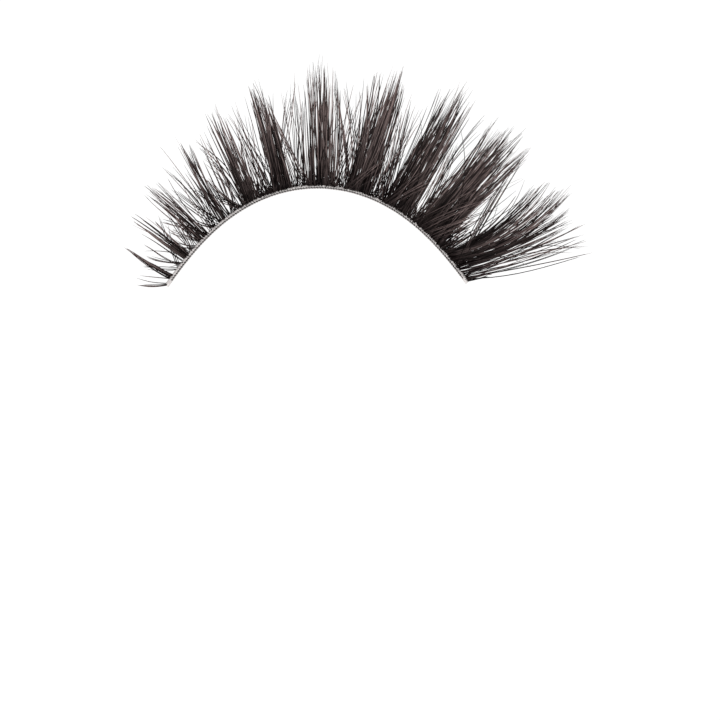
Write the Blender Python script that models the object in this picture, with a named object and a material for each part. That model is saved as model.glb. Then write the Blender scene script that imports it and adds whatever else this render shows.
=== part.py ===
"""False eyelash strip: a clear band, its line of knots, and tufts of curled hair with finer crossed hair between.

The strip lies on its band as on a table. The origin is on the band's flat underside at the middle of its length,
+X runs towards the outer corner with the longer hair, +Y is the way the middle hair points, +Z is up.
"""
import math

import bmesh
import bpy
from mathutils import Vector

MM = 0.001

# Driving dimensions, in millimetres
BAND_LENGTH = 33.0
BAND_RADIUS = 12.15        # radius of the band's bend at its middle
BAND_EASE = 17.1           # distance from the middle at which the bend would have run out
BAND_WIDTH = 0.40
BAND_HEIGHT = 0.28
KNOT_LINE_THICKNESS = 0.12
KNOT_LINE_INSET = 0.11     # from the band's middle line towards the eye
KNOT_LINE_END = 0.7        # the band's clear ends run past the knots by this much
CURL_RADIUS = 15.0         # side view of every hair: an arc of the rod it was curled on
TUFT_THICKNESS = 0.40
TUFT_TIP_THICKNESS = 0.14
CROSSING_THICKNESS = 0.24
CROSSING_TIP_THICKNESS = 0.12
CROSSING_REACH = 0.6       # of the shorter neighbour's reach
TIP_ROUNDING = 0.10        # how much shorter a tuft is at its sides, as a part of its reach
CROWN = 0.45               # how much thinner a piece is at its sides than along its middle
GAP = 0.07                 # left between neighbouring pieces

# Meshing
BAND_STEPS = 47
TUFT_ROWS = 8
TUFT_COLUMNS = 4
CROSSING_ROWS = 5
CROSSING_COLUMNS = 2

# One row for each tuft, from the inner corner to the outer one. station is the middle of its root along the band,
# root and tip are its widths, lean is the way from root to tip, from +Y towards +X, turn is how much it bends on
# the way, and reach is how far it stands out from the band seen from above. Millimetres and degrees.
TUFT_COLUMN_NAMES = ("station", "root", "lean", "turn", "reach", "tip")
TUFT_ROWS_FROM_INNER_CORNER = (
    (-16.3, 0.35, -89, 24, 3.2, 0.16),
    (-15.5, 0.50, -57, 14, 5.2, 0.18),
    (-13.2, 1.70, -54, -13, 5.7, 1.0),
    (-11.0, 1.70, -45, -22, 6.7, 0.8),
    (-8.7, 1.80, -27, -6, 7.7, 0.8),
    (-6.1, 1.90, -21, -7, 8.9, 1.0),
    (-3.1, 2.20, -13, 0, 9.4, 1.2),
    (0.3, 2.40, 1, 0, 10.6, 1.7),
    (3.8, 2.50, 19, 0, 10.8, 1.7),
    (7.4, 2.60, 28, 0, 11.2, 2.3),
    (10.7, 2.40, 42, -3, 11.8, 2.3),
    (13.3, 1.80, 64, -44, 11.6, 1.3),
    (15.5, 1.40, 74, -11, 11.8, 1.8),
)
TUFTS = [dict(zip(TUFT_COLUMN_NAMES, row)) for row in TUFT_ROWS_FROM_INNER_CORNER]
FIRST_CROSSED_TUFT = 1     # the first tuft stands at the band's very end with no crossed hair beside it


def heading(station):
    """Angle that the band has turned, in radians clockwise, at a distance from its middle."""
    return (station - station ** 3 / (3 * BAND_EASE ** 2)) / BAND_RADIUS


def band_point(station, outward=0.0):
    """Point on the band's middle line, or beside it on the hair's side."""
    steps = 64
    step = station / steps
    x = sum(math.cos(heading((index + 0.5) * step)) for index in range(steps)) * step
    y = -sum(math.sin(heading((index + 0.5) * step)) for index in range(steps)) * step
    turn = heading(station)
    return Vector((x + outward * math.sin(turn), y + outward * math.cos(turn), 0))


def direction(lean):
    """Unit vector in plan, lean degrees from +Y towards +X."""
    return Vector((math.sin(math.radians(lean)), math.cos(math.radians(lean)), 0))


def curl_height(reach):
    """Height of a hair at a distance from its root seen from above."""
    return CURL_RADIUS - math.sqrt(CURL_RADIUS ** 2 - reach ** 2)


def tuft_point(tuft, side, along):
    """Point on a tuft's underside: side from -1 to 1 across it, along from 0 at the root to 1 at the tip."""
    outward = BAND_WIDTH / 2 + GAP
    root = band_point(tuft["station"] + side * tuft["root"] / 2, outward)
    middle_root = band_point(tuft["station"], outward)
    reach = tuft["reach"] * (1 - TIP_ROUNDING * side ** 2)
    across = direction(tuft["lean"] + tuft["turn"] / 2 + 90)
    tip = middle_root + direction(tuft["lean"]) * reach + across * (side * tuft["tip"] / 2)
    bow = reach / 2 * math.tan(math.radians(tuft["turn"] / 2))
    control = (root + tip) / 2 - direction(tuft["lean"] + 90) * bow
    plan = root * (1 - along) ** 2 + control * (2 * along * (1 - along)) + tip * along ** 2
    return plan + Vector((0, 0, curl_height((plan - root).length)))


def crossing_point(left, right, side, along):
    """Point on the underside of the crossed hair between two tufts, GAP clear of both."""
    reach = CROSSING_REACH * min(left["reach"], right["reach"])
    near = tuft_point(left, 1, along * reach / left["reach"])
    far = tuft_point(right, -1, along * reach / right["reach"])
    inset = (far - near).normalized() * GAP
    return (near + inset).lerp(far - inset, (side + 1) / 2)


def make_material(name, colour, roughness, alpha=1.0):
    material = bpy.data.materials.new(name)
    material.use_nodes = True
    shader = material.node_tree.nodes["Principled BSDF"]
    shader.inputs["Base Color"].default_value = (*colour, 1.0)
    shader.inputs["Roughness"].default_value = roughness
    shader.inputs["Metallic"].default_value = 0.0
    shader.inputs["Alpha"].default_value = alpha
    return material


def add_object(name, data, material, collection):
    obj = bpy.data.objects.new(name, data)
    data.materials.append(material)
    collection.objects.link(obj)
    return obj


def tapered(root_thickness, tip_thickness):
    """Thickness of a piece that thins from root to tip, and from its middle to its sides."""
    def thickness(side, along):
        middle = root_thickness + (tip_thickness - root_thickness) * along
        return middle * (1 - CROWN * side ** 2)

    return thickness


def make_sheet_solid(name, columns, rows, place, thickness, material, collection):
    """A grid laid out by place(side, along) in millimetres, then raised into a solid by thickness(side, along)."""
    bm = bmesh.new()
    height_layer = bm.verts.layers.float.new("height")
    bmesh.ops.create_grid(bm, x_segments=columns, y_segments=rows, size=1.0)
    for vert in bm.verts:
        side = vert.co.x
        along = (vert.co.y + 1) / 2
        vert[height_layer] = thickness(side, along)
        vert.co = place(side, along) * MM
    raised = bmesh.ops.extrude_face_region(bm, geom=list(bm.faces), use_keep_orig=True)["geom"]
    for vert in raised:
        if isinstance(vert, bmesh.types.BMVert):
            vert.co.z += vert[height_layer] * MM
    bmesh.ops.recalc_face_normals(bm, faces=list(bm.faces))
    mesh = bpy.data.meshes.new(name)
    bm.to_mesh(mesh)
    bm.free()
    return add_object(name, mesh, material, collection)


def make_band(material, collection):
    def place(side, along):
        station = (along - 0.5) * BAND_LENGTH
        return band_point(station, side * BAND_WIDTH / 2)

    def thickness(side, along):
        return BAND_HEIGHT

    return make_sheet_solid("band", 1, BAND_STEPS, place, thickness, material, collection)


def make_knot_line(material, collection):
    """A fine tube along the top of the band, GAP above it."""
    length = BAND_LENGTH - 2 * KNOT_LINE_END
    height = BAND_HEIGHT + GAP + KNOT_LINE_THICKNESS / 2
    curve = bpy.data.curves.new("knot_line", "CURVE")
    curve.dimensions = "3D"
    curve.bevel_depth = KNOT_LINE_THICKNESS / 2 * MM
    curve.bevel_resolution = 1
    curve.use_fill_caps = True
    spline = curve.splines.new("POLY")
    spline.points.add(BAND_STEPS)
    for index, point in enumerate(spline.points):
        station = (index / BAND_STEPS - 0.5) * length
        place = band_point(station, -KNOT_LINE_INSET) + Vector((0, 0, height))
        point.co = (*(place * MM), 1.0)
    return add_object("knot_line", curve, material, collection)


def make_tuft(number, tuft, material, collection):
    def place(side, along):
        return tuft_point(tuft, side, along)

    name = f"tuft_{number:02d}"
    thickness = tapered(TUFT_THICKNESS, TUFT_TIP_THICKNESS)
    return make_sheet_solid(name, TUFT_COLUMNS, TUFT_ROWS, place, thickness, material, collection)


def make_crossing(number, left, right, material, collection):
    def place(side, along):
        return crossing_point(left, right, side, along)

    name = f"crossing_{number:02d}"
    thickness = tapered(CROSSING_THICKNESS, CROSSING_TIP_THICKNESS)
    return make_sheet_solid(name, CROSSING_COLUMNS, CROSSING_ROWS, place, thickness, material, collection)


def main():
    for old in list(bpy.data.objects):
        bpy.data.objects.remove(old)
    collection = bpy.data.collections.new("false eyelash strip")
    bpy.context.scene.collection.children.link(collection)
    clear = make_material("clear band", (0.74, 0.72, 0.71), 0.35, 0.6)
    knots = make_material("knotted hair roots", (0.10, 0.09, 0.09), 0.5)
    tuft_hair = make_material("tuft hair", (0.022, 0.017, 0.018), 0.42)
    fine_hair = make_material("fine crossed hair", (0.045, 0.036, 0.037), 0.42)
    make_band(clear, collection)
    make_knot_line(knots, collection)
    for index, tuft in enumerate(TUFTS):
        make_tuft(index + 1, tuft, tuft_hair, collection)
    crossed = TUFTS[FIRST_CROSSED_TUFT:]
    for index, (left, right) in enumerate(zip(crossed, crossed[1:])):
        make_crossing(index + 1, left, right, fine_hair, collection)


main()
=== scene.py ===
# %% [markdown]
# # A false eyelash strip, lying flat and seen from straight above
# The strip is a thin clear band that is glued along the eyelid, a line of knots that holds the hair to it,
# thirteen tufts of curled hair, and finer crossed hair between the tufts. The solid model already fixes
# where each of them is. This notebook gives each one its real surface: over two thousand separate hairs,
# knots, and a bead of clear glue.

# %% Load the fixed frame
import math
from collections import namedtuple

import bpy
import numpy as np
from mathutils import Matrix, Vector


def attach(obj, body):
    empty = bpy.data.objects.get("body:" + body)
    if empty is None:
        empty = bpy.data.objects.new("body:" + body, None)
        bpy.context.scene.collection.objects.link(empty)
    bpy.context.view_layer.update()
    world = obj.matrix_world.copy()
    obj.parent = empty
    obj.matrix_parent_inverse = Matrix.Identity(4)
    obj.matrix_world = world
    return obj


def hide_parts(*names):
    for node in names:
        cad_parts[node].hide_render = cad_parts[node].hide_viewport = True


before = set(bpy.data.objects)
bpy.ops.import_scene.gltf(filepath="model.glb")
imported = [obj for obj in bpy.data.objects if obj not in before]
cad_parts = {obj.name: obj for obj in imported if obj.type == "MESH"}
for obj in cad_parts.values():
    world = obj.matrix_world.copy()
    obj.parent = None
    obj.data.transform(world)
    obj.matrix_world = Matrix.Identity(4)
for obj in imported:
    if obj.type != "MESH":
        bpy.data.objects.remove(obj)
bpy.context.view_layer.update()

MM = 0.001

# %% [markdown]
# ## The line that everything follows
# The band bends most at its middle and less towards its ends, like an eyelid. Its heading is worked out
# from the distance along it, the station, and adding up small steps along that heading gives its points.
# The same line places the band, the knots and the root of every hair, so they can't drift apart. It could
# be a curve object drawn by hand, but then hair roots could only be placed on it by eye.

# %% Band line
BAND_LENGTH = 33.0
BAND_RADIUS = 12.15
BAND_EASE = 17.1
BAND_WIDTH = 0.40
BAND_HEIGHT = 0.28
LINE_STEPS = 660

stations = np.linspace(-BAND_LENGTH / 2, BAND_LENGTH / 2, LINE_STEPS + 1)
headings = (stations - stations ** 3 / (3 * BAND_EASE ** 2)) / BAND_RADIUS
step = BAND_LENGTH / LINE_STEPS
line_x = np.cumsum(np.cos(headings)) * step
line_y = -np.cumsum(np.sin(headings)) * step
line_x -= np.interp(0, stations, line_x)
line_y -= np.interp(0, stations, line_y)


def band_point(station, outward):
    """Place in plan, in millimetres: station along the band, outward from its middle to the hair's side."""
    turn = np.interp(station, stations, headings)
    x = np.interp(station, stations, line_x) + outward * np.sin(turn)
    y = np.interp(station, stations, line_y) + outward * np.cos(turn)
    return np.stack([x, y], axis=-1)


inner_corner, outer_corner = band_point(np.array([stations[0], stations[-1]]), 0.0)
print("the band runs from", inner_corner.round(2), "to", outer_corner.round(2), "mm")

# %% [markdown]
# ## Small helpers for modelling
# Blender's operators act on whatever is selected, and the solids are selected after loading. So each step
# starts by deselecting everything, and takes hold of edges by where their two ends are.

# %% Selection and modifier helpers
def pick_only(obj):
    """Makes obj the one selected and active object."""
    if bpy.context.mode != "OBJECT":
        bpy.ops.object.mode_set(mode="OBJECT")
    bpy.ops.object.select_all(action="DESELECT")
    obj.select_set(True)
    bpy.context.view_layer.objects.active = obj


def edit(obj, kind="EDGE"):
    """Opens obj in edit mode with nothing selected."""
    pick_only(obj)
    bpy.ops.object.mode_set(mode="EDIT")
    bpy.ops.mesh.select_mode(type=kind)
    bpy.ops.mesh.select_all(action="DESELECT")


def choose_edges(obj, test):
    """Selects the edges of obj, in edit mode, for which test is true of their two ends, and nothing else."""
    bpy.ops.mesh.select_all(action="DESELECT")
    bpy.ops.object.mode_set(mode="OBJECT")
    for edge in obj.data.edges:
        start, end = [obj.data.vertices[index].co for index in edge.vertices]
        edge.select = test(start, end)
    bpy.ops.object.mode_set(mode="EDIT")


def longer_than(length):
    """A test for edges that run more than length millimetres along X."""
    return lambda start, end: abs(start.x - end.x) > length * MM


def apply_modifier(obj, kind, **settings):
    """Adds a modifier with these settings and applies it at once."""
    pick_only(obj)
    modifier = obj.modifiers.new(kind.title(), kind)
    for name, value in settings.items():
        setattr(modifier, name, value)
    bpy.ops.object.modifier_apply(modifier=modifier.name)


def put_in_mesh(obj):
    """Moves the object's place and size into its mesh, so that the object sits at the origin."""
    pick_only(obj)
    bpy.ops.object.transform_apply(location=True, rotation=True, scale=True)


print("helpers ready")

# %% [markdown]
# ## Shader maths as Python expressions
# A material is a network of nodes, and long networks are hard to read as links. This small class wraps one
# node output, so that adding or multiplying two of them adds the Math node that does it.

# %% Shader wrapper
class Shade:
    def __init__(self, tree, socket=None):
        self.tree = tree
        self.socket = socket

    def node(self, kind, settings=None, inputs=None, output=0):
        """Adds a node: its settings are set first, then the values or links of its sockets."""
        made = self.tree.nodes.new(kind)
        for name, value in (settings or {}).items():
            setattr(made, name, value)
        for name, value in (inputs or {}).items():
            if isinstance(value, Shade):
                self.tree.links.new(value.socket, made.inputs[name])
            else:
                made.inputs[name].default_value = value
        return Shade(self.tree, made.outputs[output])

    def maths(self, operation, first, second):
        return self.node("ShaderNodeMath", {"operation": operation}, {0: first, 1: second})

    def __add__(self, other):
        return self.maths("ADD", self, other)

    def __sub__(self, other):
        return self.maths("SUBTRACT", self, other)

    def __rsub__(self, other):
        return self.maths("SUBTRACT", other, self)

    def __mul__(self, other):
        return self.maths("MULTIPLY", self, other)

    def __pow__(self, other):
        return self.maths("POWER", self, other)

    __radd__ = __add__
    __rmul__ = __mul__

    def blend(self, low, high):
        """The colour low where this value is 0, and high where it is 1."""
        return self.node(
            "ShaderNodeMix",
            {"data_type": "RGBA"},
            {"Factor": self, 6: (*low, 1.0), 7: (*high, 1.0)},
            output=2,
        )


def new_material(name, **constants):
    """A material with one Principled shader, a Shade to build on, and a function that links a socket."""
    material = bpy.data.materials.new(name)
    material.use_nodes = True
    tree = material.node_tree
    surface = tree.nodes["Principled BSDF"]
    for socket, value in constants.items():
        surface.inputs[socket.replace("_", " ")].default_value = value

    def feed(socket, value):
        tree.links.new(value.socket, surface.inputs[socket])

    return material, Shade(tree), feed


print("shader helpers ready")

# %% [markdown]
# ## The clear band
# The real band is a bead of clear flexible glue run over a thread: flat underneath, where it meets the
# eyelid, and rounded and slightly lumpy on top. It could be a curve with a bevel, but a curve's section is
# the same all along. Here a straight bar is modelled with rounded upper edges, cut into short lengths,
# roughened a little, and then bent along the band line by a Curve modifier.

# %% Guide curve for bending things along the band
def make_guide(outward):
    """A curve object along the band line, moved outward from its middle, which is removed after use."""
    data = bpy.data.curves.new("band_guide", "CURVE")
    data.dimensions = "2D"
    spline = data.splines.new("POLY")
    places = band_point(stations, outward) * MM
    spline.points.add(len(places) - 1)
    for point, (x, y) in zip(spline.points, places):
        point.co = (x, y, 0.0, 1.0)
    guide = bpy.data.objects.new("band_guide", data)
    bpy.context.scene.collection.objects.link(guide)
    return guide


def bend_along_band(obj, outward=0.0):
    """Bends a straight piece, modelled along +X from the origin, so that it follows the band."""
    guide = make_guide(outward)
    apply_modifier(obj, "CURVE", object=guide, deform_axis="POS_X")
    bpy.data.objects.remove(guide)


print("the guide has", len(stations), "points")

# %% Model the straight bar and round its top
ROUNDING = 0.15
ROUNDING_STEPS = 4
BAR_CUTS = 96
NEARLY_ALL = 0.9
HALVED_ABOVE = 0.1

bpy.ops.object.select_all(action="DESELECT")
bpy.ops.mesh.primitive_cube_add(size=1, location=(BAND_LENGTH / 2 * MM, 0, BAND_HEIGHT / 2 * MM))
band = bpy.context.object
band.name = "band_glue"
band.scale = (BAND_LENGTH * MM, BAND_WIDTH * MM, BAND_HEIGHT * MM)
put_in_mesh(band)


def on_top(start, end):
    return min(start.z, end.z) > BAND_HEIGHT * NEARLY_ALL * MM


edit(band)
choose_edges(band, on_top)
bpy.ops.mesh.bevel(offset=ROUNDING * MM, segments=ROUNDING_STEPS, affect="EDGES")
choose_edges(band, longer_than(BAND_LENGTH * NEARLY_ALL))
bpy.ops.mesh.subdivide(number_cuts=BAR_CUTS)
choose_edges(band, longer_than(HALVED_ABOVE))
bpy.ops.mesh.subdivide(number_cuts=1)
bpy.ops.object.mode_set(mode="OBJECT")
print("bar of", len(band.data.polygons), "faces")

# %% Roughen the glue and bend the bar
LUMP_SIZE = 0.55
LUMP_HEIGHT = 0.05
FLAT_BELOW = 0.02
SMOOTH_UP_TO = 60

lumps = bpy.data.textures.new("glue_lumps", "CLOUDS")
lumps.noise_scale = LUMP_SIZE * MM
above_ground = band.vertex_groups.new(name="above_ground")
raised = [vertex.index for vertex in band.data.vertices if vertex.co.z > FLAT_BELOW * MM]
above_ground.add(raised, 1.0, "REPLACE")
apply_modifier(
    band, "DISPLACE", texture=lumps, texture_coords="LOCAL", direction="NORMAL",
    strength=LUMP_HEIGHT * MM, mid_level=0.5, vertex_group="above_ground",
)
bend_along_band(band)
bpy.ops.object.shade_smooth_by_angle(angle=math.radians(SMOOTH_UP_TO))
print("band of", len(band.data.polygons), "faces, thickness", round(band.dimensions.z / MM, 2), "mm")

# %% [markdown]
# ## The line of knots
# Every hair is knotted round a fine thread that runs along the band, and through the clear glue this shows
# as a dark dotted line. One knot is a small ring, tilted as a knot pulls it, and an Array modifier repeats
# it along the thread before the Curve modifier bends the row. Modelling one and repeating it keeps every
# knot the same size.

# %% Model one knot and repeat it along the thread
KNOT_LINE_INSET = 0.09
KNOT_LINE_END = 0.7
KNOT_SPACING = 0.24
KNOT_RING = 0.06
KNOT_THICKNESS = 0.042
KNOT_TILT = 24
KNOT_DEPTH = 0.02
KNOT_HEIGHT = BAND_HEIGHT - KNOT_DEPTH
THREAD_THICKNESS = 0.08

knot_line_length = BAND_LENGTH - 2 * KNOT_LINE_END
knot_count = int(knot_line_length / KNOT_SPACING)
bpy.ops.object.select_all(action="DESELECT")
bpy.ops.mesh.primitive_torus_add(
    major_radius=KNOT_RING * MM, minor_radius=KNOT_THICKNESS * MM, major_segments=10, minor_segments=6,
    location=(KNOT_LINE_END * MM, 0, KNOT_HEIGHT * MM), rotation=(0, math.pi / 2, math.radians(KNOT_TILT)),
)
knots = bpy.context.object
knots.name = "knots"
put_in_mesh(knots)
apply_modifier(
    knots, "ARRAY", count=knot_count, use_relative_offset=False, use_constant_offset=True,
    constant_offset_displace=(KNOT_SPACING * MM, 0, 0),
)
print(knot_count, "knots")

# %% Add the thread and bend both along the band
bpy.ops.object.select_all(action="DESELECT")
bpy.ops.mesh.primitive_cylinder_add(
    vertices=8, radius=THREAD_THICKNESS / 2 * MM, depth=knot_line_length * MM,
    location=(BAND_LENGTH / 2 * MM, 0, KNOT_HEIGHT * MM), rotation=(0, math.pi / 2, 0),
)
thread = bpy.context.object
put_in_mesh(thread)
edit(thread)
choose_edges(thread, longer_than(knot_line_length * NEARLY_ALL))
bpy.ops.mesh.subdivide(number_cuts=BAR_CUTS)
bpy.ops.object.mode_set(mode="OBJECT")
bpy.ops.object.select_all(action="DESELECT")
thread.select_set(True)
knots.select_set(True)
bpy.context.view_layer.objects.active = knots
bpy.ops.object.join()
bend_along_band(knots, -KNOT_LINE_INSET)
bpy.ops.object.shade_smooth()
print("thread and knots of", len(knots.data.polygons), "faces")

# %% [markdown]
# ## One hair
# A synthetic lash hair is a bristle about 0.07 mm thick that keeps its thickness for a third of its length
# and then thins to a point. One straight hair of length 1 is modelled here by extruding a small pentagon
# upwards ring by ring and shrinking each ring. Its thickness is in millimetres already, and its length is
# stretched over each hair's own path later. A particle system could grow hairs too, but not along charted
# locks.

# %% Extrude one straight hair
HAIR_SIDES = 5
HAIR_THICKNESS = 0.07
RING_HEIGHTS = (0.10, 0.21, 0.32, 0.43, 0.54, 0.65, 0.75, 0.84, 0.92, 1.0)
RING_THICKNESS = (1.0, 1.0, 1.0, 0.98, 0.94, 0.88, 0.79, 0.66, 0.48, 0.2)

bpy.ops.object.select_all(action="DESELECT")
bpy.ops.mesh.primitive_circle_add(vertices=HAIR_SIDES, radius=HAIR_THICKNESS / 2, fill_type="NGON")
one_hair = bpy.context.object
edit(one_hair, "FACE")
bpy.ops.mesh.select_all(action="SELECT")
height, thickness = 0.0, 1.0
for ring_height, ring_thickness in zip(RING_HEIGHTS, RING_THICKNESS):
    bpy.ops.mesh.extrude_region_move(TRANSFORM_OT_translate={"value": (0, 0, ring_height - height)})
    change = ring_thickness / thickness
    bpy.ops.transform.resize(value=(change, change, 1))
    height, thickness = ring_height, ring_thickness
bpy.ops.mesh.select_all(action="SELECT")
bpy.ops.mesh.normals_make_consistent(inside=False)
bpy.ops.object.mode_set(mode="OBJECT")

hair_points = np.array([vertex.co for vertex in one_hair.data.vertices])
hair_faces = [list(face.vertices) for face in one_hair.data.polygons]
bpy.data.objects.remove(one_hair)
print("one hair:", len(hair_points), "points,", len(hair_faces), "faces")

# %% [markdown]
# ## Bending hairs along their paths
# Seen from above a hair leaves the band, leans, and bends a little. Seen from the side it follows the rod
# that it was curled on, so it lies flat at the root and rises more and more, and its reach stays below the
# rod's radius. A path is therefore a gentle curve in plan, with a height that comes from an arc. Copies of
# the one hair are laid over all the paths with arrays, because an operator for each of two thousand hairs
# would take far too long.

# %% Paths of the hairs
CURL_RADIUS = 15.0
ROOT_OUTWARD = 0.02
MOST_OF_CURL = 0.95
RIPPLE_TURN = 5.0

ring_t = np.unique(hair_points[:, 2].round(5))
point_ring = np.searchsorted(ring_t, hair_points[:, 2].round(5))


def lean_vectors(lean):
    """Unit vectors in plan, lean degrees from +Y towards +X."""
    return np.stack([np.sin(np.radians(lean)), np.cos(np.radians(lean))], axis=-1)


def hair_paths(roots, tips, turn, curl, height, wave, phase):
    """Points of each hair at each ring, in millimetres. All arguments have a row for each hair."""
    chord = tips - roots
    reach = np.linalg.norm(chord, axis=1)
    right = np.stack([chord[:, 1], -chord[:, 0]], axis=-1) / reach[:, None]
    bow = reach / 2 * np.tan(np.radians(turn / 2))
    control = (roots + tips) / 2 - right * bow[:, None]
    swing = np.arcsin(np.clip(reach / curl, 0, MOST_OF_CURL))
    angle = swing[:, None] * ring_t
    along = (np.sin(angle) / np.sin(swing)[:, None])[..., None]
    plan = (
        roots[:, None] * (1 - along) ** 2
        + control[:, None] * 2 * along * (1 - along)
        + tips[:, None] * along ** 2
    )
    ripple = wave[:, None] * ring_t * np.sin(phase[:, None] + RIPPLE_TURN * ring_t)
    plan += right[:, None] * ripple[..., None]
    up = height[:, None] + curl[:, None] * (1 - np.cos(angle))
    return np.concatenate([plan, up[..., None]], axis=-1)


print("a path has", len(ring_t), "points")

# %% Lay copies of the one hair over the paths
TONES = 24


def lay_hairs(name, paths, thickness, tone):
    """A mesh object with a copy of the one hair along each path. tone picks each hair's column on the map."""
    count = len(paths)
    tangent = np.gradient(paths, axis=1)
    tangent /= np.linalg.norm(tangent, axis=2, keepdims=True)
    side = np.cross(np.array([0.0, 0.0, 1.0]), tangent)
    side /= np.linalg.norm(side, axis=2, keepdims=True)
    upper = np.cross(tangent, side)
    across = hair_points[:, 0, None] * thickness[:, None, None]
    over = hair_points[:, 1, None] * thickness[:, None, None]
    points = paths[:, point_ring] + side[:, point_ring] * across + upper[:, point_ring] * over
    first = np.arange(count) * len(hair_points)
    faces = [[start + index for index in face] for start in first.tolist() for face in hair_faces]
    mesh = bpy.data.meshes.new(name)
    mesh.from_pydata((points.reshape(-1, 3) * MM).tolist(), [], faces)
    mesh.shade_smooth()
    lay_map(mesh, tone)
    obj = bpy.data.objects.new(name, mesh)
    bpy.context.scene.collection.objects.link(obj)
    return obj


def around_of_face(face):
    """How far round the hair each corner of a face is, from 0 to 1, with no jump inside the face."""
    turns = [math.atan2(hair_points[index, 1], hair_points[index, 0]) / math.tau % 1 for index in face]
    if max(turns) - min(turns) > 0.5 and len(face) == 4:
        turns = [turn + 1 if turn < 0.5 else turn for turn in turns]
    return turns


corner_around = np.array([turn for face in hair_faces for turn in around_of_face(face)])
corner_around = (corner_around - corner_around.min()) / np.ptp(corner_around)
corner_along = np.array([hair_points[index, 2] for face in hair_faces for index in face])


def lay_map(mesh, tone):
    """A map on which each hair fills one upright column: its tone from left to right, root to tip upwards."""
    layer = mesh.uv_layers.new(name="OFBake")
    u = (tone[:, None] + corner_around) / TONES
    v = np.broadcast_to(corner_along, u.shape)
    layer.data.foreach_set("uv", np.stack([u, v], axis=-1).astype(np.float32).ravel())


print("a hair's map has", len(corner_around), "corners")

# %% [markdown]
# ## The chart of locks
# A maker plants a lash strip lock by lock, and so does this chart. A row is one lock: where along the band
# it is rooted, which way it leans and how it bends, how far it reaches, how wide it is at root and tip, how
# many hairs it has, and how ragged it is, which is how much of the reach its shortest hairs lack. Long,
# well filled locks make the tufts, and thin ones with a few parallel hairs make the crossed hair between
# them.

# %% Locks of the thirteen tufts
Lock = namedtuple("Lock", "station lean turn reach root tip hairs ragged", defaults=(0.12,))

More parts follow.
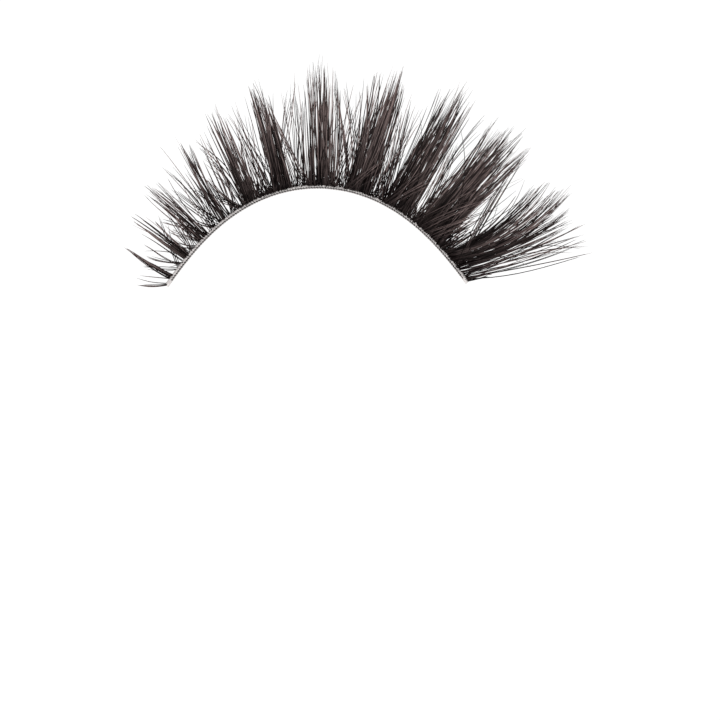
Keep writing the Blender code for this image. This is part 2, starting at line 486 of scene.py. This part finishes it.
TUFT_LOCKS = {
    1: [Lock(-16.3, -86, 22, 3.4, 0.2, 0.5, 5), Lock(-16.3, -92, 8, 2.7, 0.1, 0.1, 3),
        Lock(-15.7, -81, 13, 3.5, 0.1, 0.2, 2)],
    2: [Lock(-15.6, -57, 8, 5.1, 0.4, 0.15, 20, 0.25)],
    3: [Lock(-13.3, -54, 0, 6.4, 0.7, 0.7, 9), Lock(-13.3, -51, 4, 5.6, 0.7, 1.05, 11),
        Lock(-12.9, -48, -2, 4.8, 0.5, 0.45, 4), Lock(-13.3, -55, 4, 3.9, 0.7, 0.5, 10, 0.3),
        Lock(-14.1, -57, 0, 5.2, 0.4, 0.6, 4)],
    4: [Lock(-11.1, -48, -4, 7.2, 0.9, 0.8, 22, 0.25), Lock(-10.8, -43, -4, 7.0, 0.5, 0.4, 7),
        Lock(-11.6, -48, 6, 6.7, 0.3, 0.3, 4), Lock(-11.1, -49, -4, 4.2, 1.0, 0.7, 7, 0.4),
        Lock(-10.4, -37, 11, 7.0, 0.5, 0.45, 3)],
    5: [Lock(-8.8, -28, 13, 8.0, 0.7, 0.4, 12), Lock(-8.6, -28, 11, 8.3, 0.8, 0.8, 9),
        Lock(-8.5, -24, 4, 7.3, 0.6, 0.45, 4), Lock(-8.5, -32, 5, 4.4, 1.0, 0.8, 7, 0.4),
        Lock(-9.3, -32, 0, 6.4, 0.4, 0.6, 2)],
    6: [Lock(-6.2, -24, 0, 9.1, 0.7, 0.7, 16), Lock(-6.0, -22, 0, 9.0, 0.6, 0.5, 12),
        Lock(-5.6, -21, -2, 8.3, 0.6, 0.5, 7), Lock(-5.8, -21, 3, 6.2, 1.1, 0.8, 15, 0.4),
        Lock(-5.5, -18, 0, 4.8, 0.9, 0.7, 14, 0.5), Lock(-5.6, -12, 0, 6.5, 0.5, 0.5, 7)],
    7: [Lock(-3.3, -14, -4, 9.9, 0.9, 0.7, 20), Lock(-3.1, -14, -5, 9.8, 0.8, 0.9, 16),
        Lock(-2.5, -13, -6, 8.8, 0.6, 0.6, 12), Lock(-2.9, -13, -4, 7.8, 1.5, 1.2, 36, 0.4),
        Lock(-3.6, -6, -2, 9.3, 0.3, 0.4, 4)],
    8: [Lock(0.2, -1, 0, 11.1, 0.5, 0.7, 12), Lock(0.6, 1, 0, 10.9, 0.7, 0.9, 26),
        Lock(-0.4, -1, -3, 11.0, 0.45, 0.45, 8), Lock(1.6, 2, 0, 10.8, 0.45, 0.55, 9),
        Lock(-0.6, -4, -7, 10.5, 0.2, 0.5, 3), Lock(0.7, 1, 0, 8.8, 1.2, 0.8, 28, 0.3),
        Lock(0.5, 1, 0, 6.4, 2.3, 2.2, 33, 0.45)],
    9: [Lock(3.8, 19, 0, 11.3, 1.25, 1.3, 33, 0.25), Lock(4.2, 18, -3, 11.7, 0.9, 0.7, 23),
        Lock(3.4, 12, -4, 11.2, 0.6, 0.9, 16), Lock(3.1, 8, -15, 10.2, 0.35, 0.7, 8),
        Lock(4.7, 18, -8, 10.9, 0.35, 0.7, 17), Lock(3.7, 19, 0, 8.4, 2.0, 2.0, 52, 0.4),
        Lock(2.8, 6, -6, 8.6, 0.5, 0.4, 3)],
    10: [Lock(7.4, 31, -2, 11.9, 1.7, 1.5, 27, 0.3), Lock(8.0, 28, 0, 12.4, 0.9, 0.7, 23),
         Lock(8.6, 30, 2, 12.2, 0.55, 0.9, 16), Lock(6.5, 26, -4, 11.5, 0.45, 0.9, 10),
         Lock(6.9, 28, 2, 11.6, 0.4, 0.6, 12), Lock(7.3, 32, -2, 8.8, 2.5, 2.2, 69, 0.4)],
    11: [Lock(10.9, 39, 2, 11.6, 1.6, 1.7, 43, 0.25), Lock(9.9, 37, -12, 12.3, 0.35, 0.6, 15),
         Lock(10.6, 41, -2, 12.4, 0.55, 0.7, 18), Lock(11.2, 43, 0, 12.4, 0.7, 0.9, 23),
         Lock(12.2, 45, 12, 12.0, 0.6, 0.9, 24), Lock(11.2, 42, 2, 10.4, 2.9, 2.6, 77, 0.45),
         Lock(9.6, 45, -6, 5.4, 0.9, 0.8, 21, 0.5), Lock(13.0, 57, 0, 3.6, 0.6, 0.8, 22, 0.4),
         Lock(12.3, 54, 0, 4.4, 0.6, 0.8, 16, 0.4)],
    12: [Lock(13.3, 56, -42, 11.6, 0.4, 0.5, 16), Lock(13.6, 60, -44, 12.0, 0.4, 0.45, 18),
         Lock(13.8, 63, -40, 12.3, 0.5, 0.5, 20), Lock(14.2, 67, -34, 11.9, 0.4, 0.45, 13),
         Lock(13.4, 53, -38, 10.8, 0.4, 0.5, 9), Lock(13.6, 61, -38, 8.8, 1.2, 1.2, 18, 0.4),
         Lock(13.1, 68, -8, 3.8, 0.7, 0.7, 4, 0.4)],
    13: [Lock(15.4, 69, -15, 11.9, 0.5, 0.6, 12), Lock(14.9, 68, -16, 11.9, 0.5, 0.9, 10),
         Lock(14.8, 65, -20, 9.8, 0.7, 1.25, 7), Lock(15.8, 73, -2, 12.1, 0.35, 0.8, 10),
         Lock(16.0, 80, 0, 11.6, 0.25, 0.25, 5), Lock(15.5, 73, -8, 8.6, 1.3, 1.6, 4, 0.35),
         Lock(16.15, 78, -4, 2.5, 0.4, 0.4, 16, 0.3), Lock(15.6, 77, 6, 12.3, 0.3, 0.6, 5)],
}
print(sum(lock.hairs for locks in TUFT_LOCKS.values() for lock in locks), "hairs in the tufts")

# %% Locks of the crossed hair
CROSSED_LOCKS = {
    1: [Lock(-14.2, -91, -4, 2.1, 0.1, 0.1, 1), Lock(-14.6, -87, 17, 3.6, 0.2, 0.2, 3),
        Lock(-14.0, -80, 17, 3.6, 0.2, 0.25, 4), Lock(-13.3, -81, -15, 4.4, 0.2, 0.2, 2),
        Lock(-14.6, -19, -2, 5.4, 0.25, 0.45, 3)],
    2: [Lock(-12.1, -78, 46, 2.6, 0.3, 0.3, 5), Lock(-11.3, -73, 24, 3.5, 0.3, 0.4, 5),
        Lock(-10.8, -71, 0, 4.6, 0.3, 0.4, 5), Lock(-12.6, -27, -12, 4.5, 0.55, 0.7, 5),
        Lock(-11.9, -31, 9, 3.9, 0.25, 0.35, 3), Lock(-12.8, -31, 3, 4.4, 0.25, 0.35, 2)],
    3: [Lock(-9.6, -74, 36, 2.5, 0.3, 0.3, 5), Lock(-9.2, -55, 8, 5.3, 0.55, 0.6, 5),
        Lock(-10.1, -24, -24, 5.9, 0.55, 0.55, 4), Lock(-9.8, -40, -18, 7.4, 0.3, 0.4, 4),
        Lock(-9.5, -36, -7, 7.3, 0.25, 0.2, 2), Lock(-8.7, -47, -31, 4.9, 0.25, 0.3, 4)],
    4: [Lock(-6.9, -49, 32, 4.3, 0.5, 0.5, 7), Lock(-6.4, -38, -27, 7.7, 0.45, 0.25, 5),
        Lock(-6.8, -37, -22, 5.7, 0.45, 0.45, 5), Lock(-7.7, -21, -24, 5.1, 0.6, 0.55, 4),
        Lock(-7.6, -23, -12, 7.9, 0.35, 0.55, 5), Lock(-6.6, -12, -6, 6.0, 0.5, 0.5, 5),
        Lock(-6.9, -66, 8, 3.3, 0.4, 0.4, 5)],
    5: [Lock(-4.0, -29, -3, 9.0, 0.35, 0.25, 4), Lock(-2.9, -30, 20, 9.2, 0.25, 0.25, 4),
        Lock(-4.9, -10, -2, 8.5, 0.55, 0.7, 4), Lock(-4.4, -22, 8, 7.9, 0.55, 0.7, 5),
        Lock(-5.2, 8, 0, 5.3, 0.45, 0.55, 3), Lock(-4.2, -22, -12, 5.3, 0.55, 0.45, 3)],
    6: [Lock(-0.4, -27, 7, 9.1, 0.35, 0.2, 4), Lock(-1.0, -23, 5, 7.4, 0.45, 0.25, 5),
        Lock(-1.9, -18, -2, 4.0, 0.35, 0.25, 4), Lock(-3.0, 4, 16, 10.3, 0.1, 0.1, 2),
        Lock(-3.3, 9, 5, 11.1, 0.25, 0.2, 4), Lock(-1.7, -1, -15, 9.2, 0.45, 0.35, 4),
        Lock(-1.4, 3, 7, 8.4, 0.55, 0.25, 3), Lock(-0.9, 0, -2, 8.1, 0.35, 0.25, 3)],
    7: [Lock(1.5, 17, -8, 9.1, 0.45, 0.45, 4), Lock(1.7, 10, 10, 10.8, 0.2, 0.1, 2),
        Lock(3.2, -3, -11, 10.1, 0.35, 0.4, 5), Lock(3.0, -8, -4, 9.7, 0.45, 0.45, 6),
        Lock(2.2, -1, 0, 10.3, 0.25, 0.2, 4), Lock(2.5, 15, 10, 6.8, 0.45, 0.45, 5),
        Lock(1.7, 22, 14, 3.7, 0.55, 0.55, 5)],
    8: [Lock(6.3, 15, 6, 10.3, 0.45, 0.35, 6), Lock(6.7, 16, 11, 9.8, 0.45, 0.25, 4),
        Lock(5.9, 13, -15, 8.6, 0.45, 0.45, 5), Lock(5.2, 33, 23, 6.6, 0.35, 0.45, 4),
        Lock(5.8, 17, -10, 4.7, 0.9, 0.7, 4), Lock(6.0, 2, 0, 3.8, 0.7, 0.6, 5),
        Lock(5.6, 8, 4, 6.2, 0.5, 0.6, 4), Lock(6.6, 36, 0, 4.2, 0.6, 0.6, 6)],
    9: [Lock(9.6, 27, -7, 8.5, 0.55, 0.7, 9), Lock(10.4, 29, 36, 12.7, 0.25, 0.25, 4),
        Lock(10.3, 33, 35, 12.0, 0.25, 0.2, 2), Lock(9.1, 45, 15, 7.5, 0.35, 0.25, 3)],
    10: [Lock(15.0, 29, 6, 10.1, 0.35, 0.4, 7), Lock(15.0, 31, 12, 12.3, 0.35, 0.4, 6),
         Lock(13.3, 28, 0, 3.4, 0.6, 0.6, 7), Lock(12.3, 58, -15, 10.9, 0.35, 0.45, 2),
         Lock(11.6, 67, 25, 7.0, 0.35, 0.35, 3), Lock(13.2, 55, -9, 12.1, 0.35, 0.2, 2)],
    11: [Lock(14.6, 65, -10, 10.3, 0.55, 1.05, 6), Lock(15.0, 69, -4, 11.2, 0.35, 0.7, 5)],
}
print(sum(lock.hairs for locks in CROSSED_LOCKS.values() for lock in locks), "crossed hairs")

# %% [markdown]
# A few hairs break out of every tuft. Strays stand apart and bend their own way. Sweeping hairs lie across
# the top of the fullest tufts, where they catch the light, and their pale tone is a painted highlight.

# %% Strays and sweeping hairs
STRAYS = {
    7: [Lock(-3.5, -5, 11, 10.2, 0.1, 0.1, 1), Lock(-2.9, -5, 18, 9.0, 0.1, 0.1, 1)],
    8: [Lock(0.5, 21, 64, 7.4, 0.1, 0.1, 1)],
    9: [Lock(6.3, 7, -52, 9.2, 0.1, 0.1, 1)],
    10: [Lock(8.6, 8, -30, 11.1, 0.1, 0.1, 1)],
    11: [Lock(12.1, 12, -58, 10.9, 0.1, 0.1, 1), Lock(10.4, 69, 72, 9.1, 0.1, 0.1, 1)],
    12: [Lock(13.3, 48, -60, 10.2, 0.1, 0.1, 1), Lock(13.3, 46, -66, 9.2, 0.1, 0.1, 1)],
    13: [Lock(14.7, 93, 66, 10.0, 0.1, 0.1, 1), Lock(14.8, 84, 30, 11.3, 0.1, 0.1, 1),
         Lock(15.1, 81, 21, 12.2, 0.1, 0.1, 1)],
}
SWEEPS = {
    9: [Lock(2.5, 56, 12, 4.7, 0.25, 0.55, 3), Lock(3.1, 54, 13, 4.5, 0.25, 0.55, 3)],
    10: [Lock(6.3, 57, 14, 6.0, 0.25, 0.7, 4), Lock(6.7, 63, 13, 5.4, 0.25, 0.7, 4)],
    11: [Lock(9.2, 62, -22, 11.7, 0.25, 0.55, 3), Lock(9.8, 67, -8, 10.9, 0.25, 0.25, 2),
         Lock(10.0, 70, 14, 6.7, 0.35, 0.7, 4), Lock(10.6, 69, 0, 6.4, 0.35, 0.7, 4),
         Lock(11.4, 68, 0, 4.9, 0.35, 0.55, 4)],
}
print(sum(len(locks) for locks in STRAYS.values()), "strays")

# %% [markdown]
# ## From locks to hairs
# Hairs in a tuft don't lie one by one. Static and fibre coating draw neighbours together in pairs, each
# pair a little longer or shorter than the next. Dealing the hairs out in such small combs gives the spiky
# outline, which single random hairs would blur. Crossed hair is sparse, so there each hair is a comb of its
# own and a lock reads as a few parallel lines. A style says how one kind of lock is combed: the hairs in a
# comb, how far tips are shuffled past their neighbours, how pale the hairs are, and whether they spread
# from one point or stay parallel. The paleness of sweeping hairs is a painted highlight, and the darkness of
# the feet by the band is a painted shade.

# %% Styles of combing
Style = namedtuple("Style", "comb_size thickness lift lightness shuffle parallel", defaults=(0.0, False))
TUFTED = Style(2, 1.0, 0.0, 0.0, shuffle=0.4)
PALER = Style(2, 1.0, 0.0, 0.15, shuffle=0.4)
WISPY = Style(1, 0.85, 0.04, 0.2, shuffle=0.8)
# Feet by the band: their dark tone is a painted shade.
FOOT = Style(2, 1.05, 0.0, -0.4, parallel=True)
CROSSING = Style(1, 1.05, 0.0, 0.05)
STRAYING = Style(1, 0.95, 0.1, -0.1)
# Sweeping hairs: their paleness is a painted highlight.
SWEEPING_PAINTED_HIGHLIGHT = Style(1, 0.65, 0.3, 0.45)
print("tufts are combed in groups of", TUFTED.comb_size, "and crossed hair in groups of", CROSSING.comb_size)

# %% [markdown]
# No two combs are alike, and neither are two hairs of one comb. Each lock is dealt out by chance from a
# fixed seed, so that every run gives the same strip. The amounts below say how far chance may go. They are
# in millimetres and degrees, or are parts of a whole: of the step between two combs, of half the tip's
# width, of the reach, or of the way from the darkest tone to the palest. A power above 1 makes small
# amounts commoner than large ones.

# %% Comb the hairs of a lock
ROOT_PITCH = 0.08
TIP_PITCH = 0.015
ROOT_LAYERS = (0.05, 0.27)
ROOT_JITTER = 0.5
TIP_JITTER = 1.0
FULL_LOCK = 28
FULL_LOCK_TIP_JITTER = 0.25
RAGGED_POWER = 1.5
LOCK_ROUNDING = 0.10
HAIR_SHORTENING = 0.06
COMB_TURN = 7
HAIR_TURN = 1
COMB_CURL = 0.35
HAIR_CURL = 0.15
COMB_WAVE = 0.06
THICKNESS_RANGE = (0.8, 1.15)
TONE_POWER = 1.6
COMB_TONE = 0.15


def comb_lock(lock, style, random):
    """Columns for each hair of a lock: root, tip, turn, curl radius, height, wave, phase, thickness, tone."""
    combs = max(1, round(lock.hairs / style.comb_size))
    comb = np.arange(lock.hairs) * combs // lock.hairs
    place = np.linspace(-1, 1, combs) if combs > 1 else np.zeros(1)
    tip_jitter = FULL_LOCK_TIP_JITTER if lock.hairs > FULL_LOCK else TIP_JITTER / combs

    def stray(middle, comb_spread, hair_spread):
        """A value for each hair: its comb strays from the middle, and then the hair from its comb."""
        combed = middle + random.normal(0, comb_spread, combs)[comb]
        return combed + random.normal(0, hair_spread, lock.hairs)

    root_side = place + random.normal(0, ROOT_JITTER / combs, combs)
    dealt = np.argsort(np.argsort(place + random.normal(0, style.shuffle, combs)))
    tip_side = place[dealt] + random.normal(0, tip_jitter, combs)
    raggedness = lock.ragged * random.uniform(0, 1, combs) ** RAGGED_POWER
    shortening = (1 - raggedness) * (1 - LOCK_ROUNDING * tip_side ** 2)
    rank = random.uniform(-1, 1, lock.hairs) * style.comb_size / 2
    spread_root = root_side[comb] * lock.root / 2 + rank * ROOT_PITCH
    spread_tip = tip_side[comb] * lock.tip / 2 + rank * TIP_PITCH
    roots = band_point(lock.station + spread_root, ROOT_OUTWARD)
    middle = roots if style.parallel else band_point(lock.station, ROOT_OUTWARD)
    reach = lock.reach * shortening[comb] * (1 - HAIR_SHORTENING * random.uniform(0, 1, lock.hairs))
    across = lean_vectors(lock.lean + lock.turn / 2 + 90)
    tips = middle + lean_vectors(lock.lean) * reach[:, None] + across * spread_tip[:, None]
    turn = stray(lock.turn, COMB_TURN, HAIR_TURN)
    curl = stray(CURL_RADIUS, COMB_CURL, HAIR_CURL)
    height = random.uniform(*ROOT_LAYERS, lock.hairs) + style.lift
    wave = random.normal(0, COMB_WAVE, combs)[comb]
    phase = random.uniform(0, math.tau, combs)[comb]
    thickness = style.thickness * random.uniform(*THICKNESS_RANGE, lock.hairs)
    tone = random.uniform(0, 1, lock.hairs) ** TONE_POWER
    tone = tone + random.uniform(-COMB_TONE, COMB_TONE, combs)[comb] + style.lightness
    return roots, tips, turn, curl, height, wave, phase, thickness, tone


def comb_piece(name, groups, seed):
    """All the hairs of one piece, as one mesh. Each group pairs a style with its locks."""
    random = np.random.default_rng(seed)
    columns = [comb_lock(lock, style, random) for style, locks in groups for lock in locks]
    *path_columns, thickness, tone = [np.concatenate(column) for column in zip(*columns)]
    tone_column = np.floor(tone * TONES).clip(0, TONES - 1)
    return lay_hairs(name, hair_paths(*path_columns), thickness, tone_column)


print("combing ready, full locks have more than", FULL_LOCK, "hairs")

# %% [markdown]
# Two things blur the neat locks. Close to the band the hair is a dense dark tangle, because every knot also
# holds hairs that lean to either side and soon end; these short hairs get the darkest tones as a painted
# shade. And all over a tuft single wisps cross each other, reaching a little past the combs. Both are dealt
# out from each tuft's own locks, the widest of which is its main lock, and the gaps get some from a lock
# halfway between two of those. The inner tufts and the one in the middle of the strip have paler hair than
# the rest.

# %% Feet and wisps of a tuft
Foot = namedtuple("Foot", "aside reach density")
TUFT_FEET = (Foot(-22, 2.0, 7), Foot(20, 2.0, 7), Foot(-48, 0.9, 13), Foot(46, 0.9, 13))
GAP_FEET = (Foot(-24, 1.8, 6), Foot(22, 1.8, 6), Foot(-50, 0.8, 17), Foot(50, 0.8, 17))
STEEPEST_FOOT = 50
FOOT_RAGGED = 0.5
GAP_WIDTH = 1.1
WISP_REACH = 1.03
WISP_SPREAD = 1.25
WISP_RAGGED = 0.3


def feet_of(lock, feet, fullness):
    """The short splayed locks around the foot of a lock, none so steep that it would cross the band."""
    away = math.degrees(np.interp(lock.station, stations, headings))
    leans = [min(max(lock.lean + foot.aside, away - STEEPEST_FOOT), away + STEEPEST_FOOT) for foot in feet]
    return [
        lock._replace(
            lean=lean, turn=0, reach=foot.reach, tip=0.0, ragged=FOOT_RAGGED,
            hairs=round(foot.density * fullness * lock.root),
        )
        for lean, foot in zip(leans, feet) if fullness
    ]


def wisps_of(main, locks, count):
    """Single crossing hairs all over a tuft, a little longer and wider spread than its locks."""
    longest = max(locks, key=lambda lock: lock.reach)
    return main._replace(
        reach=longest.reach * WISP_REACH, tip=main.tip * WISP_SPREAD, hairs=count, ragged=WISP_RAGGED,
    )


def halfway(left, right):
    """A lock in the middle of the gap between two others."""
    return left._replace(
        station=(left.station + right.station) / 2, lean=(left.lean + right.lean) / 2, root=GAP_WIDTH,
    )


main_locks = {number: max(locks, key=lambda lock: lock.root) for number, locks in TUFT_LOCKS.items()}
print("main locks are", min(lock.root for lock in main_locks.values()), "mm wide or more")

# %% Plant the tufts
PALER_TUFTS = (1, 2, 3, 4, 5, 6, 8)
FOOT_FULLNESS = {6: 0.5, 7: 1.0, 8: 1.0, 9: 0.8, 10: 0.8, 11: 0.6, 12: 0.4}
WISPS = {3: 3, 4: 5, 5: 6, 6: 14, 7: 22, 8: 26, 9: 30, 10: 34, 11: 38, 12: 14, 13: 5}
TUFT_SEED = 100

tufts = {}
for number, locks in TUFT_LOCKS.items():
    groups = [
        (PALER if number in PALER_TUFTS else TUFTED, locks),
        (WISPY, [wisps_of(main_locks[number], locks, WISPS[number])] if number in WISPS else []),
        (FOOT, feet_of(main_locks[number], TUFT_FEET, FOOT_FULLNESS.get(number, 0))),
        (STRAYING, STRAYS.get(number, [])),
        (SWEEPING_PAINTED_HIGHLIGHT, SWEEPS.get(number, [])),
    ]
    tufts[number] = comb_piece(f"lashes_{number:02d}", groups, TUFT_SEED + number)
print(len(tufts), "tufts")

# %% Plant the crossed hair
GAP_FULLNESS = {4: 0.4, 5: 1.9, 6: 0.7, 7: 0.5, 8: 0.4, 9: 1.2, 10: 0.9}
GAP_WISPS = {3: 3, 4: 3, 5: 4, 6: 9, 7: 8, 8: 12, 9: 12, 10: 4}
GAP_WISP_REACH = 9.5
GAP_WISP_SPREAD = 2.4
GAP_WISP_RAGGED = 0.5
CROSSED_SEED = 200

crossed = {}
for number, locks in CROSSED_LOCKS.items():
    gap = halfway(main_locks[number + 1], main_locks[number + 2])
    gap_wisps = gap._replace(
        turn=0, reach=GAP_WISP_REACH, tip=GAP_WISP_SPREAD, hairs=GAP_WISPS.get(number, 0),
        ragged=GAP_WISP_RAGGED,
    )
    groups = [
        (CROSSING, locks),
        (WISPY, [gap_wisps] if gap_wisps.hairs else []),
        (FOOT, feet_of(gap, GAP_FEET, GAP_FULLNESS.get(number, 0))),
    ]
    crossed[number] = comb_piece(f"fine_hair_{number:02d}", groups, CROSSED_SEED + number)
all_hair = [*tufts.values(), *crossed.values()]
triangles = sum(len(face.vertices) - 2 for obj in all_hair for face in obj.data.polygons)
print("all hair:", triangles, "triangles")

# %% [markdown]
# ## Materials
# The hair is brown black with a soft sheen, which is mostly a painted sheen in its colour, as the shader's
# own shine is kept low. Its map has a column for each tone, so the column's number picks how pale the whole
# hair is, partly its own tone and partly painted sheen, and a noise makes painted paler and darker sheen
# stretches along it. Few hairs are really pale. All of them are painted dark at the band as a painted shade,
# where hairs shade each other, and their tone comes out further up.

# %% Hair
HAIR_DARK = (0.0017, 0.0008, 0.0008)
# The pale end is partly the hair's own tone and partly a painted sheen.
HAIR_LIGHT = (0.28, 0.21, 0.20)
HAIR_ROUGHNESS = 0.42
HAIR_SHINE = 0.05
# Painted sheen: paler and darker stretches along each hair.
STREAK_SCALE = 9.0
STREAK_DETAIL = 2.0
STREAK_CONTRAST = 1.6
LEAST_STREAK = 0.2
PALE_POWER = 2.0
PALE_AMOUNT = 0.7
TIP_PALENESS = 0.06
# Painted shade: each hair is darker towards the band, where hairs shade each other.
PAINTED_SHADE_ENDS_AT = 0.7
TONE_LEFT_IN_PAINTED_SHADE = 0.12


def make_hair_material(name):
    material, shade, feed = new_material(name, Roughness=HAIR_ROUGHNESS, Specular_IOR_Level=HAIR_SHINE)
    place = shade.node("ShaderNodeUVMap", {"uv_map": "OFBake"})
    split = {"Vector": place}
    tone_place = shade.node("ShaderNodeSeparateXYZ", inputs=split, output="X")
    along = shade.node("ShaderNodeSeparateXYZ", inputs=split, output="Y")
    column = shade.node("ShaderNodeMath", {"operation": "FLOOR"}, {0: tone_place * TONES}) * (1 / TONES)
    # A noise of painted sheen along each hair.
    painted_sheen_streak = shade.node(
        "ShaderNodeTexNoise", {"noise_dimensions": "2D"},
        {"Vector": place, "Scale": STREAK_SCALE, "Detail": STREAK_DETAIL}, output=0,
    )
    # Painted shade, from darkest at the band to none part way up the hair.
    out_of_painted_shade = shade.node(
        "ShaderNodeMapRange",
        inputs={"Value": along, "From Max": PAINTED_SHADE_ENDS_AT, "To Min": TONE_LEFT_IN_PAINTED_SHADE}, output=0,
    )
    # A hair's pale tone is partly its own and partly painted sheen.
    tone_and_painted_sheen = (column ** PALE_POWER) * PALE_AMOUNT * (painted_sheen_streak * STREAK_CONTRAST + LEAST_STREAK)
    light = tone_and_painted_sheen * out_of_painted_shade + (along ** PALE_POWER) * TIP_PALENESS
    feed("Base Color", light.blend(HAIR_DARK, HAIR_LIGHT))
    return material


tuft_hair = make_hair_material("tuft_hair")
fine_hair = make_hair_material("fine_hair")
print("hair materials ready")

# %% Clear glue and knots
GLUE_COLOUR = (0.5, 0.47, 0.46, 1.0)
GLUE_ROUGHNESS = 0.28
CLOUD_SCALE = 2600.0
CLOUD_DETAIL = 3.0
CLOUD_CONTRAST = 1.1
LEAST_CLOUD = 0.15
KNOT_DARK = (0.004, 0.003, 0.003)
KNOT_LIGHT = (0.05, 0.042, 0.042)
KNOT_ROUGHNESS = 0.7
FUZZ_SCALE = 9000.0
FUZZ_DETAIL = 2.0


def noise_over(shade, scale, detail):
    """A noise that is fixed to the piece, with about as many lumps to the metre as its scale."""
    place = shade.node("ShaderNodeTexCoord", output="Object")
    return shade.node(
        "ShaderNodeTexNoise", inputs={"Vector": place, "Scale": scale, "Detail": detail}, output=0,
    )


def make_glue_material():
    material, shade, feed = new_material("clear_glue", Roughness=GLUE_ROUGHNESS, Base_Color=GLUE_COLOUR)
    feed("Alpha", noise_over(shade, CLOUD_SCALE, CLOUD_DETAIL) * CLOUD_CONTRAST + LEAST_CLOUD)
    return material


def make_knot_material():
    material, shade, feed = new_material("knot_thread", Roughness=KNOT_ROUGHNESS)
    feed("Base Color", noise_over(shade, FUZZ_SCALE, FUZZ_DETAIL).blend(KNOT_DARK, KNOT_LIGHT))
    return material


band.data.materials.append(make_glue_material())
knots.data.materials.append(make_knot_material())
for obj in tufts.values():
    obj.data.materials.append(tuft_hair)
for obj in crossed.values():
    obj.data.materials.append(fine_hair)
print("materials on the band, the knots and", len(all_hair), "pieces of hair")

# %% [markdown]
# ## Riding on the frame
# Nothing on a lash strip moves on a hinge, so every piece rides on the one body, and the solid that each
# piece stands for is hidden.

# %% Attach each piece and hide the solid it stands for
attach(band, "root")
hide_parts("band")
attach(knots, "root")
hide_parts("knot_line")
for number, obj in tufts.items():
    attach(obj, "root")
    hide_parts(f"tuft_{number:02d}")
for number, obj in crossed.items():
    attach(obj, "root")
    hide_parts(f"crossing_{number:02d}")
print(2 + len(tufts) + len(crossed), "pieces")

# %% [markdown]
# ## Floor, light and camera
# The strip lies on a bright white surface, as on a light table: the surface glows a little, so that the
# gaps between hairs stay white. One large soft lamp above it gives the hair a faint sheen of its own, and
# the rest of the hair's sheen is painted into its colour.

# %% Floor and light
FLOOR_SIZE = 3.0
FLOOR_DROP = 0.02
FLOOR_COLOUR = (0.06, 0.06, 0.06, 1.0)
FLOOR_GLOW = 0.98
WHITE = (1.0, 1.0, 1.0, 1.0)
ROOM_LIGHT = 1.0
LAMP_PLACE = (-0.1, -0.65, 0.85)
LAMP_SIZE = 0.5
LAMP_POWER = 10.0

bpy.ops.object.select_all(action="DESELECT")
bpy.ops.mesh.primitive_plane_add(size=FLOOR_SIZE, location=(0, 0, -FLOOR_DROP * MM))
floor = bpy.context.object
floor.name = "floor"
floor_material, _, _ = new_material(
    "white_floor", Base_Color=FLOOR_COLOUR, Roughness=0.9, Specular_IOR_Level=0.0,
    Emission_Color=WHITE, Emission_Strength=FLOOR_GLOW,
)
floor.data.materials.append(floor_material)

world = bpy.data.worlds.new("white_room")
world.use_nodes = True
room = world.node_tree.nodes["Background"]
room.inputs["Color"].default_value = WHITE
room.inputs["Strength"].default_value = ROOM_LIGHT
world.cycles_visibility.glossy = False
bpy.context.scene.world = world

lamp_data = bpy.data.lights.new("soft_lamp", "AREA")
lamp_data.shape = "SQUARE"
lamp_data.size = LAMP_SIZE
lamp_data.energy = LAMP_POWER
lamp = bpy.data.objects.new("soft_lamp", lamp_data)
lamp.location = LAMP_PLACE
lamp.rotation_euler = (-Vector(LAMP_PLACE)).to_track_quat("-Z", "Y").to_euler()
bpy.context.scene.collection.objects.link(lamp)
print("floor, room light and lamp placed")

# %% Camera
IMAGE_PIXELS = 720
MM_PER_PIXEL = 0.08824
VIEW_CENTRE = (3.70, -15.34)
VIEW_TURN = -0.7
CAMERA_HEIGHT = 0.5
NEAREST_SEEN = 0.001
SENSOR = 36.0

view_width = IMAGE_PIXELS * MM_PER_PIXEL * MM
camera_data = bpy.data.cameras.new("camera")
camera_data.sensor_width = SENSOR
camera_data.lens = SENSOR * CAMERA_HEIGHT / view_width
camera_data.clip_start = NEAREST_SEEN
camera = bpy.data.objects.new("camera", camera_data)
camera.location = (VIEW_CENTRE[0] * MM, VIEW_CENTRE[1] * MM, CAMERA_HEIGHT)
camera.rotation_euler = (0, 0, math.radians(VIEW_TURN))
bpy.context.scene.collection.objects.link(camera)
bpy.context.scene.camera = camera
bpy.context.scene.view_settings.view_transform = "Standard"
print("camera sees", round(view_width / MM, 1), "mm across")
